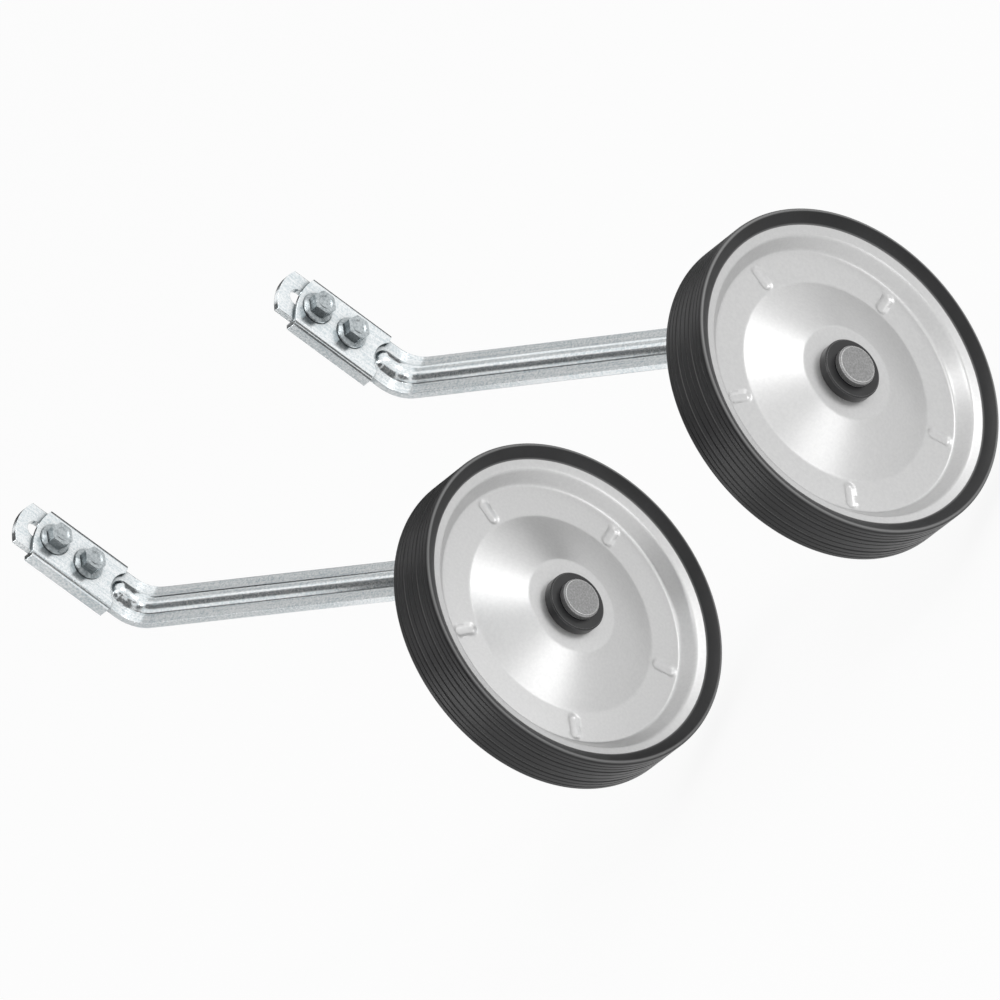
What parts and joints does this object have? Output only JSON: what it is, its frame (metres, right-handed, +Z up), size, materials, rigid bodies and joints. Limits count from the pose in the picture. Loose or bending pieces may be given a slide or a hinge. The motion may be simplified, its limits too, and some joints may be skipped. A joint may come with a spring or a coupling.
{
  "type": "bicycle training wheels",
  "caption": "Training wheels for a child's bicycle: rubber-tyred pressed steel wheels turning on beaded, bent strip arms that channel plates and flange bolts clamp to the frame.",
  "frame": {"origin": "middle of the left unit's two bolts, on the back face of its arm, which lies against the bicycle", "axes": "X fore and aft, -Y away from the bicycle along the wheel axle, +Z up"},
  "size_m": [0.14, 0.3191, 0.2185],
  "materials": {
    "rubber": "satin",
    "silver_paint": "satin metallic",
    "black_plastic": "satin",
    "axle_steel": "matt",
    "zinc": "bright zinc plate"
  },
  "bodies": {
    "fixings": {"left_clamp": "zinc", "left_upper_bolt": "zinc", "left_lower_bolt": "zinc", "right_clamp": "zinc", "right_upper_bolt": "zinc", "right_lower_bolt": "zinc"},
    "left_arm": {"left_arm": "zinc", "left_axle": "axle_steel", "left_thrust_washer": "zinc"},
    "left_wheel": {"left_tyre": "rubber", "left_outer_disc": "silver_paint", "left_inner_disc": "silver_paint", "left_outer_bush": "black_plastic", "left_inner_bush": "black_plastic"},
    "right_arm": {"right_arm": "zinc", "right_axle": "axle_steel", "right_thrust_washer": "zinc"},
    "right_wheel": {"right_tyre": "rubber", "right_outer_disc": "silver_paint", "right_inner_disc": "silver_paint", "right_outer_bush": "black_plastic", "right_inner_bush": "black_plastic"}
  },
  "joints": [
    {"name": "left_height_slide", "type": "slide", "parent": "fixings", "child": "left_arm", "axis": [0, 0, 1], "range_m": [-0.0075, 0]},
    {"name": "left_wheel_spin", "type": "hinge", "parent": "left_arm", "child": "left_wheel", "pos_m": [0, -0.1307, -0.1332], "axis": [0, 1, 0], "continuous": true},
    {"name": "right_height_slide", "type": "slide", "parent": "fixings", "child": "right_arm", "axis": [0, 0, 1], "range_m": [-0.0075, 0]},
    {"name": "right_wheel_spin", "type": "hinge", "parent": "right_arm", "child": "right_wheel", "pos_m": [0.015, -0.2957, -0.1332], "axis": [0, 1, 0], "continuous": true}
  ]
}
